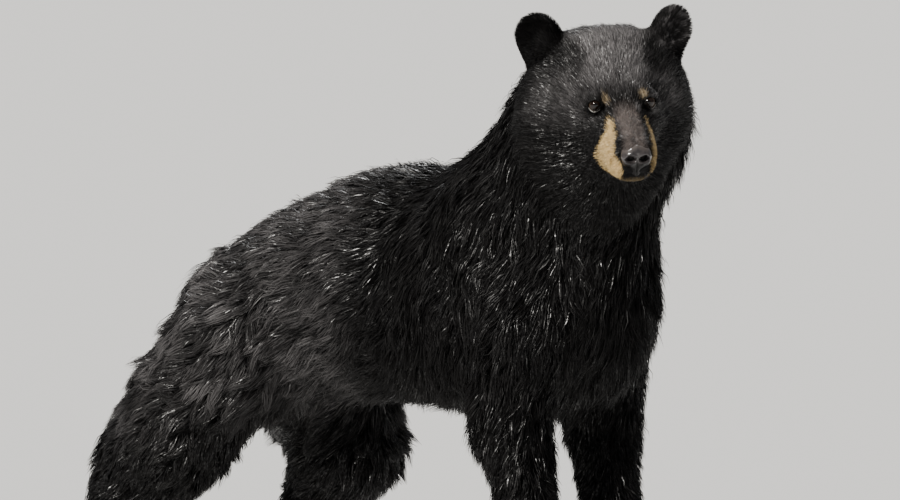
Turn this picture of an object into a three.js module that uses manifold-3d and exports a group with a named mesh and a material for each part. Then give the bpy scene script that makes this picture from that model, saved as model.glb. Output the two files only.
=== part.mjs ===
// A life-size still model of an American black bear (Ursus americanus), standing and looking to its
// right. Millimetres, +Z up. The bear faces +X, its left side is +Y, and its four feet stand on the
// floor at z = 0.
//
// The animal's outer form, out to the tips of its coat, is one smooth field: balls for the masses of
// bone and muscle, tapered bars for the limbs, all melted together. Each named part is that field's
// surface inside the part's own region, and thin cuts keep the parts from touching.
import * as THREE from "three";
import Module from "manifold-3d";
import { mergeVertices } from "three/addons/utils/BufferGeometryUtils.js";

const wasm = await Module();
wasm.setup();

// ---------- driving dimensions ----------

const GAP = 0.35; // clear space in a cut between two parts
const SKIN_STEPS = 3; // Newton steps that set a vertex on the field's surface

// The head's own frame: x to the nose, y to the bear's left, z to the crown, origin inside the skull.
const HEAD = { at: [405, -55, 889], yaw: -40, pitch: 12.5, roll: 3 };
const EAR = { at: [-50, 106, 103], radius: 40, thick: 22, cup: 27 };
const EYE = { at: [77.5, 42, 20], radius: 11 };

// Joints in the side view, as [x, z], and the feet's places on the floor, as [x, y].
const SHOULDER = [272, 552];
const FORE = {
  right: { y: -108, elbow: [246, 398], foot: [372, -108] },
  left: { y: 108, elbow: [246, 402], foot: [356, 110] },
};
const WRIST_HEIGHT = 92;

const HIP = [-322, 520];
const HIND = {
  right: { y: -118, seat: [-444, 424], knee: [-438, 338], ankle: [-610, 116], foot: [-521, -128] },
  left: { y: 118, seat: [-396, 436], knee: [-288, 306], ankle: [-404, 108], foot: [-314, 128] },
};
const FRINGE_END = { right: [-600, 262], left: [-400, 332] }; // long hair behind the thigh and shank

// ---------- the field ----------

const v3 = (a) => new THREE.Vector3(...a);
const rad = THREE.MathUtils.degToRad;
const mirrored = (p) => [p[0], -p[1], p[2]];

function frameOf({ at, yaw = 0, pitch = 0, roll = 0 }) {
  const turn = new THREE.Euler(rad(roll), rad(pitch), rad(yaw), "ZYX");
  return new THREE.Matrix4().makeRotationFromEuler(turn).setPosition(...at);
}

const WORLD = new THREE.Matrix4();
const headFrame = frameOf(HEAD);

// An ellipsoid of flesh. `melt` is how far it blends into what it touches.
function ball(at, radii, melt = 40, turn = {}, frame = WORLD) {
  const own = frame.clone().multiply(frameOf({ at, ...turn }));
  const toOwn = own.clone().invert().elements;
  const [rx, ry, rz] = radii;
  const distance = (x, y, z) => {
    const px = (toOwn[0] * x + toOwn[4] * y + toOwn[8] * z + toOwn[12]) / rx;
    const py = (toOwn[1] * x + toOwn[5] * y + toOwn[9] * z + toOwn[13]) / ry;
    const pz = (toOwn[2] * x + toOwn[6] * y + toOwn[10] * z + toOwn[14]) / rz;
    const near = Math.hypot(px, py, pz);
    const steep = Math.hypot(px / rx, py / ry, pz / rz);
    return steep < 1e-9 ? -Math.min(rx, ry, rz) : (near * (near - 1)) / steep;
  };
  return { distance, melt };
}

// A tapered bar of flesh with round ends, `wide` times as broad across its frame's y as it is deep.
function bar(from, to, fromRadius, toRadius, melt = 40, wide = 1, frame = WORLD) {
  const toOwn = frame.clone().invert().elements;
  const [ax, ay, az] = [from[0], from[1], from[2]];
  const [bx, by, bz] = [to[0] - ax, (to[1] - ay) / wide, to[2] - az];
  const length2 = bx * bx + by * by + bz * bz;
  const distance = (x, y, z) => {
    const px = toOwn[0] * x + toOwn[4] * y + toOwn[8] * z + toOwn[12] - ax;
    const py = (toOwn[1] * x + toOwn[5] * y + toOwn[9] * z + toOwn[13] - ay) / wide;
    const pz = toOwn[2] * x + toOwn[6] * y + toOwn[10] * z + toOwn[14] - az;
    const t = Math.min(1, Math.max(0, (px * bx + py * by + pz * bz) / length2));
    const off = Math.hypot(px - t * bx, py - t * by, pz - t * bz);
    return off - (fromRadius + t * (toRadius - fromRadius));
  };
  return { distance, melt };
}

// The smooth union of some flesh, less what is hollowed out of it.
function melted(flesh, hollows = []) {
  return (x, y, z) => {
    let d = 1e6;
    for (const f of flesh) {
      const e = f.distance(x, y, z);
      const h = Math.max(f.melt - Math.abs(d - e), 0) / f.melt;
      d = Math.min(d, e) - (h * h * f.melt) / 4;
    }
    for (const f of hollows) {
      const e = -f.distance(x, y, z);
      const h = Math.max(f.melt - Math.abs(d - e), 0) / f.melt;
      d = Math.max(d, e) + (h * h * f.melt) / 4;
    }
    return d;
  };
}

// ---------- the bear's masses ----------

const trunkFlesh = [
  ball([135, 0, 581], [255, 160, 191], 40, { pitch: -14 }), // rib cage
  ball([-70, 0, 570], [250, 165, 174], 50, { pitch: -12 }), // belly
  ball([-225, 0, 568], [190, 150, 160], 50, { pitch: -20 }), // loin
  ball([-345, 0, 500], [130, 130, 160], 50, { pitch: -40 }), // pelvis
  ball([-32, 0, 705], [186, 84, 83], 50), // withers and mane
  ball([320, 0, 560], [105, 105, 150], 60), // breast
];

const neckFlesh = [
  bar([170, 0, 650], [337, -26, 849], 142, 130, 70), // neck
  bar([300, 0, 620], [370, -28, 775], 112, 92, 60), // throat
];

const tailFlesh = [bar([-455, 0, 520], [-515, 0, 452], 34, 24, 34)];

function headMass(at, radii, melt, turn) {
  return ball(at, radii, melt, turn, headFrame);
}

const bothSides = (make) => [1, -1].flatMap((s) => make(s));

const headFlesh = [
  headMass([-36, 0, 28], [84, 88, 88], 30), // brain case
  headMass([6, 0, 26], [60, 60, 50], 34), // forehead
  ...bothSides((s) => [
    headMass([-28, s * 52, -26], [78, 68, 80], 34), // cheek
    headMass([-50, s * 48, 60], [56, 40, 44], 30), // side of the crown
    headMass([-64, s * 80, 14], [58, 50, 66], 34), // fur below the ear
    headMass([-72, s * 74, -52], [78, 72, 86], 34), // ruff behind the jaw
    headMass([50, s * 34, 34], [26, 22, 18], 24), // brow
    headMass([54, s * 42, -10], [34, 26, 24], 26), // cheekbone under the eye
    headMass([-66, s * 70, -112], [58, 50, 52], 34), // fur under the jaw
    bar([64, s * 15, -38], [162, s * 9, -48], 35, 26, 26, 1, headFrame), // upper lip
  ]),
  bar([56, 0, 2], [172, 0, -31], 42, 29, 30, 1, headFrame), // bridge of the muzzle
  bar([0, 0, -64], [144, 0, -73], 44, 17, 24, 1.1, headFrame), // lower jaw
];
const eyeHollows = bothSides((s) => [headMass([100, s * 50, 21], [17, 16, 11], 10)]);

// A leg's side decides which way its elbow and toes turn out.
function foreLeg(side) {
  const { y, elbow, foot } = FORE[side];
  const out = Math.sign(y);
  const [wristX, wristZ] = [foot[0] - 60, WRIST_HEIGHT];
  return [
    ball([160, y * 0.75, 650], [120, 70, 140], 40, { pitch: 20 }), // shoulder blade
    bar([SHOULDER[0], y * 0.95, SHOULDER[1]], [elbow[0], y * 1.06, elbow[1]], 84, 68, 40), // upper arm
    bar([elbow[0] + 4, y * 1.04, elbow[1] - 10], [wristX - 4, y, wristZ + 40], 64, 46, 40), // forearm
    bar([wristX - 4, y, wristZ + 60], [wristX, y, wristZ - 30], 46, 48, 30, 1.06), // wrist
    ...flatFoot(foot, out, { length: 120, heel: 62 }),
  ];
}

function hindLeg(side) {
  const { y, seat, knee, ankle, foot } = HIND[side];
  const fringe = FRINGE_END[side];
  const out = Math.sign(y);
  return [
    ball([HIP[0] + 4, y * 0.74, HIP[1] - 20], [132, 74, 140], 50, { pitch: -30 }), // haunch
    ball([seat[0], y * 0.84, seat[1]], [74, 62, 120], 50, { pitch: 20 }), // seat
    bar([seat[0] - 60, y, seat[1] - 8], [fringe[0], y * 1.04, fringe[1]], 42, 43, 40), // fringe
    bar([HIP[0], y * 0.86, HIP[1] - 20], [knee[0], y * 1.04, knee[1]], 104, 90, 50), // thigh
    bar([knee[0], y * 1.04, knee[1]], [ankle[0], y * 1.04, ankle[1] + 20], 92, 55, 40), // shank
    bar([ankle[0] + 6, y * 1.04, ankle[1] + 40], [ankle[0], foot[1], ankle[1] - 50], 48, 44, 30), // heel
    ...flatFoot(foot, out, { length: 190, heel: 44 }),
  ];
}

// A flat-footed paw: the sole's bar, the instep and five toes in a shallow arc, cut flat by the floor.
const TOES = 5;
const TOE_PITCH = 24; // sideways from toe to toe
function toeSpots([x, y], out) {
  return Array.from({ length: TOES }, (_, i) => {
    const across = i - (TOES - 1) / 2; // from the inner toe out
    return { x: x + 46 - 5.5 * across * across, y: y + out * across * TOE_PITCH, across };
  });
}

function flatFoot([x, y], out, { length, heel }) {
  return [
    bar([x - length * 0.55, y, 34], [x + 4, y, 30], heel, 46, 30, 1.12),
    ball([x + 4, y, 38], [58, 63, 36], 24),
    ...toeSpots([x, y], out).map((t) => ball([t.x, t.y, 22], [31, 15.5, 26], 13)),
  ];
}

const legs = [foreLeg("right"), foreLeg("left"), hindLeg("right"), hindLeg("left")];
const bodyFlesh = [...trunkFlesh, ...legs.flat(), ...neckFlesh, ...headFlesh, ...tailFlesh];
const body = melted(bodyFlesh, eyeHollows);

// ---------- from field to solid ----------

const solidOf = (geometry) => {
  const bare = geometry.clone();
  for (const extra of ["normal", "uv"]) bare.deleteAttribute(extra);
  const { attributes, index } = mergeVertices(bare, 1e-3);
  const vertProperties = new Float32Array(attributes.position.array);
  const triVerts = new Uint32Array(index.array);
  return new wasm.Manifold(new wasm.Mesh({ numProp: 3, vertProperties, triVerts }));
};

const geometryOf = (solid) => {
  const { numProp, numVert, vertProperties, triVerts } = solid.getMesh();
  const xyz = new Float32Array(numVert * 3);
  for (let i = 0; i < numVert; i++) {
    const start = i * numProp;
    xyz.set(vertProperties.subarray(start, start + 3), i * 3);
  }
  const geometry = new THREE.BufferGeometry();
  geometry.setAttribute("position", new THREE.BufferAttribute(xyz, 3));
  geometry.setIndex(new THREE.BufferAttribute(triVerts, 1));
  return geometry;
};

// Moves a point onto the field's surface along its slope, by no more than `reach`.
function settle(field, p, reach) {
  const start = p.clone();
  const h = 0.5;
  for (let i = 0; i < SKIN_STEPS; i++) {
    const d = field(p.x, p.y, p.z);
    const slope = new THREE.Vector3(
      field(p.x + h, p.y, p.z) - field(p.x - h, p.y, p.z),
      field(p.x, p.y + h, p.z) - field(p.x, p.y - h, p.z),
      field(p.x, p.y, p.z + h) - field(p.x, p.y, p.z - h),
    ).divideScalar(2 * h);
    p.addScaledVector(slope, -d / Math.max(slope.lengthSq(), 0.05));
  }
  const moved = p.sub(start);
  if (moved.length() > reach) moved.setLength(reach);
  return start.add(moved);
}

// Where a lattice square is inside at two opposite corners only, the surface would touch itself along an
// edge. The shallower of the two outside corners is filled in.
function fillPinches(value, [nx, ny, nz], at) {
  const squares = [[1, 0, 0, 0, 1, 0], [0, 1, 0, 0, 0, 1], [0, 0, 1, 1, 0, 0]];
  for (let again = true; again; ) {
    again = false;
    for (let k = 1; k < nz - 2; k++)
      for (let j = 1; j < ny - 2; j++)
        for (let i = 1; i < nx - 2; i++)
          for (const [a, b, c, d, e, f] of squares) {
            const near = [at(i, j, k), at(i + a + d, j + b + e, k + c + f)];
            const far = [at(i + a, j + b, k + c), at(i + d, j + e, k + f)];
            const [n0, n1, f0, f1] = [...near, ...far].map((n) => value[n] < 0);
            if (n0 !== n1 || f0 !== f1 || n0 === f0) continue;
            const [p, q] = n0 ? far : near;
            value[value[p] < value[q] ? p : q] = -0.01;
            again = true;
          }
  }
}

// The surface of `field` in a box of `frame`, as one closed mesh of quads over a lattice of `cell` steps.
// Each lattice cell that the surface passes through holds one vertex. `grow` moves the surface outwards.
function surface(field, low, high, cell, { frame = WORLD, grow = 0 } = {}) {
  const count = low.map((l, i) => Math.ceil((high[i] - l) / cell[i]) + 1);
  const [nx, ny, nz] = count;
  const at = (i, j, k) => (k * ny + j) * nx + i;
  const corner = (...at) => v3(at.map((n, axis) => low[axis] + n * cell[axis]));
  const grown = (x, y, z) => field(x, y, z) - grow;
  const value = new Float32Array(nx * ny * nz);
  const p = new THREE.Vector3();
  for (let k = 0; k < nz; k++)
    for (let j = 0; j < ny; j++)
      for (let i = 0; i < nx; i++) {
        const edge = i * j * k === 0 || i === nx - 1 || j === ny - 1 || k === nz - 1;
        p.copy(corner(i, j, k)).applyMatrix4(frame);
        value[at(i, j, k)] = edge ? 1 : grown(p.x, p.y, p.z);
      }
  fillPinches(value, count, at);

  const points = [];
  const vertexOf = new Int32Array(value.length).fill(-1);
  const offsets = [0, 1].flatMap((c) => [0, 1].flatMap((b) => [0, 1].map((a) => [a, b, c])));
  const reach = 0.45 * Math.min(...cell);
  for (let k = 0; k < nz - 1; k++)
    for (let j = 0; j < ny - 1; j++)
      for (let i = 0; i < nx - 1; i++) {
        const middle = new THREE.Vector3();
        let crossings = 0;
        for (const a of offsets)
          for (const b of offsets) {
            if (b[0] + b[1] + b[2] !== a[0] + a[1] + a[2] + 1) continue;
            if (b.some((n, m) => n < a[m])) continue;
            const va = value[at(i + a[0], j + a[1], k + a[2])];
            const vb = value[at(i + b[0], j + b[1], k + b[2])];
            if (va < 0 === vb < 0) continue;
            const t = va / (va - vb);
            middle.addScaledVector(corner(i + a[0], j + a[1], k + a[2]), 1 - t);
            middle.addScaledVector(corner(i + b[0], j + b[1], k + b[2]), t);
            crossings++;
          }
        if (!crossings) continue;
        middle.divideScalar(crossings).applyMatrix4(frame);
        vertexOf[at(i, j, k)] = points.length;
        points.push(settle(grown, middle, reach));
      }

  const triangles = [];
  const quad = (a, b, c, d) => {
    const short = points[a].distanceToSquared(points[c]) <= points[b].distanceToSquared(points[d]);
    triangles.push(...(short ? [a, b, c, a, c, d] : [a, b, d, b, c, d]));
  };
  for (let k = 0; k < nz - 1; k++)
    for (let j = 0; j < ny - 1; j++)
      for (let i = 0; i < nx - 1; i++) {
        const inside = value[at(i, j, k)] < 0;
        const ring = [
          [value[at(i + 1, j, k)], [i, j, k], [i, j - 1, k], [i, j - 1, k - 1], [i, j, k - 1]],
          [value[at(i, j + 1, k)], [i, j, k], [i, j, k - 1], [i - 1, j, k - 1], [i - 1, j, k]],
          [value[at(i, j, k + 1)], [i, j, k], [i - 1, j, k], [i - 1, j - 1, k], [i, j - 1, k]],
        ];
        for (const [next, ...cells] of ring) {
          if (inside === next < 0) continue;
          const face = cells.map((c) => vertexOf[at(...c)]);
          quad(...(inside ? face : face.reverse()));
        }
      }

  const geometry = new THREE.BufferGeometry().setFromPoints(points);
  geometry.setIndex(triangles);
  return solidOf(geometry);
}

// ---------- regions that part the body ----------

const REACH = 2400; // larger than the animal
const BELLY = 378; // the height of the armpits and the groin

// Everything on the side of a plane that `normal` points to, or a block of it `size` across.
function beyond(point, normal, frame = WORLD, size = REACH) {
  const box = new THREE.BoxGeometry(size, size, size).translate(0, 0, size / 2);
  const turn = new THREE.Quaternion().setFromUnitVectors(v3([0, 0, 1]), v3(normal).normalize());
  box.applyQuaternion(turn).translate(...point);
  return solidOf(box.applyMatrix4(frame));
}

// A slab with a round end about each of two joints, seen from the side. It stands out from `inner`
// to one flank.
function flank(from, fromRadius, to, toRadius, side, inner, grow) {
  const [r1, r2] = [fromRadius + grow, toRadius + grow];
  const along = Math.atan2(to[1] - from[1], to[0] - from[0]);
  const tangent = Math.acos((r1 - r2) / Math.hypot(to[0] - from[0], to[1] - from[1]));
  const outline = new THREE.Shape();
  outline.absarc(from[0], from[1], r1, along + tangent, along - tangent + 2 * Math.PI, false);
  outline.absarc(to[0], to[1], r2, along - tangent, along + tangent, false);
  const depth = 400;
  const slab = new THREE.ExtrudeGeometry(outline, { depth, bevelEnabled: false, curveSegments: 7 });
  slab.rotateX(Math.PI / 2).translate(0, side > 0 ? depth + inner - grow : -inner + grow, 0);
  return solidOf(slab);
}

// Above the belly a limb's region is only the outer flank; below it the limb is free all round.
function limb(from, fromRadius, to, toRadius, side, inner, grow) {
  const outer = flank(from, fromRadius, to, toRadius, side, inner, grow);
  const whole = flank(from, fromRadius, to, toRadius, side, 4, grow);
  return outer.add(whole.subtract(beyond([0, 0, BELLY + grow], [0, 0, 1])));
}

function shoulderRegion(side, grow) {
  const { y, elbow } = FORE[side];
  return limb([165, 655], 124, [elbow[0] + 4, elbow[1] - 20], 100, Math.sign(y), 60, grow);
}

function hipRegion(side, grow) {
  const { y, knee } = HIND[side];
  return limb([HIP[0] - 48, HIP[1] - 50], 178, [knee[0] - 16, knee[1] - 16], 150, Math.sign(y), 60, grow);
}

const ELBOW_CUT = 362;
const KNEE_CUT = { right: [-440, 0, 300], left: [-250, 0, 262] };
const KNEE_CUT_NORMAL = { right: [0.6, 0, 1], left: [0.3, 0, 1] };

function lowerForeRegion(side, grow) {
  const { y, elbow, foot } = FORE[side];
  const wrist = [foot[0] - 20, 60];
  const column = flank([elbow[0] + 10, elbow[1] - 40], 110, wrist, 170, Math.sign(y), 20, grow);
  return column.subtract(beyond([0, 0, ELBOW_CUT + grow], [0, 0, 1]));
}

function lowerHindRegion(side, grow) {
  const { y, knee, foot } = HIND[side];
  const column = flank(knee, 190, [foot[0] - 40, 70], 230, Math.sign(y), 20, grow);
  const [x, , z] = KNEE_CUT[side];
  return column.subtract(beyond([x, 0, z + grow], KNEE_CUT_NORMAL[side]));
}

// The planes behind which the neck, the head and the tail begin; the head's is in its own frame.
const NECK_CUT = { point: [262, -6, 680], normal: [0.82, -0.14, 0.56] };
const HEAD_CUT = { point: [-38, 0, 0], normal: [0.86, 0, 0.51] };
const TAIL_CUT = { point: [-476, 0, 498], normal: [-0.6, 0, -0.8] };
const TAIL_WIDTH = 92;

function pastCut({ point, normal }, grow, frame, size) {
  const start = v3(point).addScaledVector(v3(normal).normalize(), -grow);
  return beyond(start.toArray(), normal, frame, size);
}
const neckSide = (grow) => pastCut(NECK_CUT, grow);
const headSide = (grow) => pastCut(HEAD_CUT, grow, headFrame);
const tailSide = (grow) => pastCut(TAIL_CUT, grow, WORLD, TAIL_WIDTH + 2 * grow);
const floor = beyond([0, 0, 0], [0, 0, -1]);

// ---------- materials ----------

const finish = (color, roughness) => new THREE.MeshStandardMaterial({ color, roughness, metalness: 0 });
const coat = finish(0x17161a, 0.62);
const muzzleCoat = finish(0x5b4a38, 0.7);
const leather = finish(0x1c1a1c, 0.42);
const eyeGlass = finish(0x120b07, 0.08);
const horn = finish(0x1a1715, 0.36);

const bear = new THREE.Group();

function add(name, solid, material) {
  const mesh = new THREE.Mesh(geometryOf(solid), material);
  mesh.name = name;
  bear.add(mesh);
}

// ---------- trunk, neck and tail ----------

const SIDES = ["right", "left"];
const legRegions = (grow) =>
  SIDES.flatMap((s) => [
    shoulderRegion(s, grow),
    lowerForeRegion(s, grow),
    hipRegion(s, grow),
    lowerHindRegion(s, grow),
  ]);
const without = (solid, regions) => regions.reduce((rest, r) => rest.subtract(r), solid);

const trunk = surface(body, [-620, -300, 240], [520, 300, 900], [78, 56, 56]);
add("trunk", without(trunk, [...legRegions(GAP), neckSide(GAP), tailSide(GAP)]), coat);

const neck = surface(body, [120, -300, 420], [560, 260, 1010], [48, 47, 47]);
add("neck", without(neck.intersect(neckSide(0)), [headSide(GAP)]), coat);

const tail = surface(body, [-620, -90, 380], [-440, 90, 600], [26, 24, 24]);
const hips = SIDES.map((side) => hipRegion(side, GAP));
add("tail", without(tail.intersect(tailSide(0)), hips), coat);

// ---------- head ----------

const HEAD_CELL = [26, 25, 25];
const HEAD_BOX = [[-190, -190, -250], [250, 190, 170]];
const skull = surface(body, ...HEAD_BOX, HEAD_CELL, { frame: headFrame });

// The same solid a little larger about a point of the head's frame: it leaves clear space when it cuts.
function swollen(solid, [x, y, z], factor) {
  const around = new THREE.Matrix4().makeTranslation(x, y, z).scale(v3([factor, factor, factor]));
  around.multiply(new THREE.Matrix4().makeTranslation(-x, -y, -z));
  const grown = headFrame.clone().multiply(around);
  return solidOf(geometryOf(solid).applyMatrix4(grown.multiply(headFrame.clone().invert())));
}

const noseFlesh = [
  headMass([184, 0, -28], [20, 21, 19], 10), // top of the nose leather
  ...bothSides((s) => [headMass([188, s * 12, -37], [16, 12.5, 15], 8)]), // wings
  headMass([183, 0, -58], [12, 8, 13], 10), // the strip down to the lip
];
const NOSE_BOX = [[155, -34, -80], [222, 34, 6]];
const nose = surface(melted(noseFlesh), ...NOSE_BOX, [10.2, 9.8, 10], { frame: headFrame });
const noseRoom = swollen(nose, [186, 0, -38], 1.03);
const nostrils = bothSides((s) => {
  const hole = new THREE.SphereGeometry(1, 8, 6).scale(9, 4.8, 5.2).translate(204, s * 10.5, -36);
  return [solidOf(hole.applyMatrix4(headFrame))];
});

// The lower jaw is parted from the head along the mouth and a U about the chin.
const JAW = { back: 84, halfWidth: 33, chin: 122, mouth: -71, depth: 60 };
function mouthSide(grow) {
  const half = JAW.halfWidth + grow;
  const outline = new THREE.Shape();
  outline.moveTo(JAW.back - grow, half);
  outline.lineTo(JAW.back - grow, -half);
  outline.lineTo(JAW.chin, -half);
  outline.absarc(JAW.chin + 20, 0, half * 0.96, -Math.PI / 2, Math.PI / 2, false);
  outline.lineTo(JAW.chin, half);
  const depth = JAW.depth;
  const slab = new THREE.ExtrudeGeometry(outline, { depth, bevelEnabled: false, curveSegments: 8 });
  slab.translate(0, 0, JAW.mouth - depth + grow);
  return solidOf(slab.applyMatrix4(headFrame));
}

const eyeSpot = (side) => (side === "left" ? EYE.at : mirrored(EYE.at));
const eyeball = (side, grow) => {
  const ballShape = new THREE.SphereGeometry(EYE.radius + grow, 9, 6).translate(...eyeSpot(side));
  return solidOf(ballShape.applyMatrix4(headFrame));
};

const head = skull.intersect(headSide(0)).subtract(noseRoom);
add("head", without(head, [eyeball("left", GAP), eyeball("right", GAP), mouthSide(GAP)]), coat);
add("lower_jaw", head.intersect(mouthSide(0)), muzzleCoat);
add("nose", without(nose, nostrils), leather);
for (const side of SIDES) add("eye_" + side, eyeball(side, 0), eyeGlass);

// An ear is a thick round shell, cupped forwards and outwards.
function ear(side) {
  const s = side === "left" ? 1 : -1;
  const [x, y, z] = EAR.at;
  const turn = { yaw: s * 30, pitch: -4, roll: -s * 24 };
  const own = headFrame.clone().multiply(frameOf({ at: [x, s * y, z], ...turn }));
  const shell = melted(
    [
      ball([0, 0, 0], [EAR.thick, EAR.radius, EAR.radius], 10, {}, own),
      ball([-2, -s * 2, -34], [24, 36, 37], 20, {}, own),
    ],
    [ball([25, s * 2, 1], [23, EAR.cup, EAR.cup], 8, {}, own)],
  );
  const box = [[-44, -62, -78], [44, 62, 60]];
  return surface(shell, ...box, [13, 14, 14], { frame: own });
}
const skullSwollen = swollen(skull, [0, 0, 0], 1.004);
for (const side of SIDES) add("ear_" + side, ear(side).subtract(skullSwollen), coat);

// ---------- legs, feet and claws ----------

const PAW_CELL = [40, TOE_PITCH / 2, 35];
const [FORE_CLAW, HIND_CLAW] = [40, 32]; // length

// A claw is a cone bent down along a quarter arc, rooted in its toe.
function claw({ x, y, across }, out, length, grow) {
  const cone = new THREE.ConeGeometry(5.5 + grow, length + 2 * grow, 5, 2).translate(0, length / 2, 0);
  cone.rotateZ(-Math.PI / 2);
  const place = cone.getAttribute("position");
  const bend = 0.5 / length;
  for (let i = 0; i < place.count; i++) place.setZ(i, place.getZ(i) - bend * place.getX(i) ** 2);
  cone.rotateZ(out * across * 0.06).translate(x + 14, y, 21);
  return solidOf(cone);
}

function foot(solid, at, out, clawLength, name) {
  const claws = (grow) => toeSpots(at, out).map((t) => claw(t, out, clawLength, grow));
  add(name, without(solid, claws(GAP)), coat);
  claws(0).forEach((c, i) => add(`${name}_claw_${i + 1}`, c, horn));
}

// One half of the animal, short of its middle plane.
const halfBody = (out) => (out > 0 ? [5, 300] : [-300, -5]);
const above = (height) => beyond([0, 0, height], [0, 0, 1]);
const pawAt = ([x, y]) => surface(body, [x - 220, y - 96, -30], [x + 120, y + 96, 160], PAW_CELL);

for (const side of SIDES) {
  const { y, foot: spot } = FORE[side];
  const out = Math.sign(y);
  const [low, high] = halfBody(out);

  const shoulder = surface(body, [-20, low, 300], [480, high, 860], [50, 42, 54]);
  const upper = shoulder.intersect(shoulderRegion(side, 0));
  add("upper_arm_" + side, without(upper, [neckSide(GAP), lowerForeRegion(side, GAP)]), coat);

  const column = surface(body, [80, low, -30], [480, high, 460], [34, 32, 60]);
  const lower = column.intersect(lowerForeRegion(side, 0));
  add("forearm_" + side, lower.intersect(above(WRIST_HEIGHT + GAP)), coat);

  const paw = pawAt(spot).intersect(lowerForeRegion(side, 0));
  foot(without(paw, [above(WRIST_HEIGHT), floor]), spot, out, FORE_CLAW, "forepaw_" + side);
}

for (const side of SIDES) {
  const { y, ankle, foot: spot } = HIND[side];
  const out = Math.sign(y);
  const [low, high] = halfBody(out);

  const haunch = surface(body, [-620, low, 180], [60, high, 760], [54, 42, 54]);
  const upper = haunch.intersect(hipRegion(side, 0));
  add("thigh_" + side, without(upper, [lowerHindRegion(side, GAP), tailSide(GAP)]), coat);

  const column = surface(body, [-700, low, -30], [0, high, 460], [42, 32, 42]);
  const lower = column.intersect(lowerHindRegion(side, 0));
  const heelHeight = ankle[1] - 6;
  add("shank_" + side, lower.intersect(above(heelHeight + GAP)), coat);

  const sole = pawAt(spot).intersect(lowerHindRegion(side, 0));
  foot(without(sole, [above(heelHeight), floor]), spot, out, HIND_CLAW, "hind_foot_" + side);
}

// The origin is on the floor, under the middle of the animal.
const box = new THREE.Box3().setFromObject(bear);
const middle = box.getCenter(new THREE.Vector3());
bear.position.set(-middle.x, -middle.y, 0);

export default bear;
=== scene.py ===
import math

import bmesh
import bpy
import numpy as np
from mathutils import Matrix, Vector
from mathutils.bvhtree import BVHTree
from mathutils.kdtree import KDTree


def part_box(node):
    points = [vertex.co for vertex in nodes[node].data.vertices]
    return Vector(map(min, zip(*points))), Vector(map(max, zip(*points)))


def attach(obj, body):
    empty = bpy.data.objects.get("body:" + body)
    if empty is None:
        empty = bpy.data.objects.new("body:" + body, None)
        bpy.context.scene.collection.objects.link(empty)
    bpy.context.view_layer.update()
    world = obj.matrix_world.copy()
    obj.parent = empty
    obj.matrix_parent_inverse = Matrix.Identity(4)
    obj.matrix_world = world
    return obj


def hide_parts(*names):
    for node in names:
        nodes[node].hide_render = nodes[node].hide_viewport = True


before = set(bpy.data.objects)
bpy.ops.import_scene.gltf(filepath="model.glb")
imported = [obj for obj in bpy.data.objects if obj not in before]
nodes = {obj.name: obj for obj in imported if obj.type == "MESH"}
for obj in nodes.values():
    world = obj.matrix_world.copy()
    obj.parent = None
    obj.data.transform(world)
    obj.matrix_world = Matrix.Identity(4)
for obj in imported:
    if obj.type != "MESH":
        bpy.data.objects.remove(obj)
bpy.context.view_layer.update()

scene = bpy.context.scene


# ---------- studio ----------
# The model stands on a plain pale studio floor that runs out of sight. A broad warm light shines from
# the bear's right and a little ahead, a weaker one from behind on its left, and the pale room gives
# the rest.

FLOOR_SIZE, FLOOR_COLOUR, FLOOR_ROUGHNESS = 400, (0.62, 0.615, 0.60), 0.9
ROOM_COLOUR, ROOM_LIGHT = (0.78, 0.80, 0.84), 0.20
MIDDLE, LAMP_DISTANCE = Vector((0, 0, 0.6)), 6  # the bear's middle, and how far off a lamp stands


def node_tree_of(name):
    """A new material, with its node tree and its surface shader."""
    material = bpy.data.materials.new(name)
    material.use_nodes = True
    tree = material.node_tree
    return material, tree, tree.nodes["Principled BSDF"]


def fill(node, inputs):
    """Gives a node its inputs: another node's output is linked, a colour or number is set."""
    for name, value in inputs.items():
        if isinstance(value, bpy.types.NodeSocket):
            node.id_data.links.new(value, node.inputs[name])
        else:
            node.inputs[name].default_value = (*value, 1) if isinstance(value, tuple) else value


bpy.ops.mesh.primitive_plane_add(size=FLOOR_SIZE)
floor = bpy.context.object
floor.name = "studio_floor"
floor_material, _, floor_surface = node_tree_of("pale_floor")
fill(floor_surface, {"Base Color": FLOOR_COLOUR, "Roughness": FLOOR_ROUGHNESS})
floor.data.materials.append(floor_material)

scene.world = bpy.data.worlds.new("studio_room")
scene.world.use_nodes = True
fill(scene.world.node_tree.nodes["Background"], {"Color": ROOM_COLOUR, "Strength": ROOM_LIGHT})


def from_middle(turn, rise, distance, middle=MIDDLE):
    """A place at a distance from the middle, `turn` degrees round from -Y and `rise` degrees up."""
    turn, rise = math.radians(turn), math.radians(rise)
    way = Vector((math.sin(turn) * math.cos(rise), -math.cos(turn) * math.cos(rise), math.sin(rise)))
    return middle + way * distance


def soft_light(name, turn, rise, width, strength, colour=(1, 1, 1)):
    """A far light that looks `width` degrees across."""
    lamp = bpy.data.lights.new(name, "SUN")
    lamp.angle, lamp.energy, lamp.color = math.radians(width), strength, colour
    holder = bpy.data.objects.new(name, lamp)
    holder.location = from_middle(turn, rise, LAMP_DISTANCE)
    holder.rotation_euler = (MIDDLE - holder.location).to_track_quat("-Z", "Y").to_euler()
    scene.collection.objects.link(holder)


soft_light("key_light", turn=2, rise=38, width=10, strength=4.9, colour=(1, 0.965, 0.91))
soft_light("back_light", turn=215, rise=50, width=25, strength=3.0)


# ---------- camera ----------
# It stands well back at the height of a grown person's chest, off the bear's front right quarter, and
# looks slightly down through a long lens.

AIM = Vector((0.0734, 0.010, 0.642))
LENS, SENSOR = 235.6, 36

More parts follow.
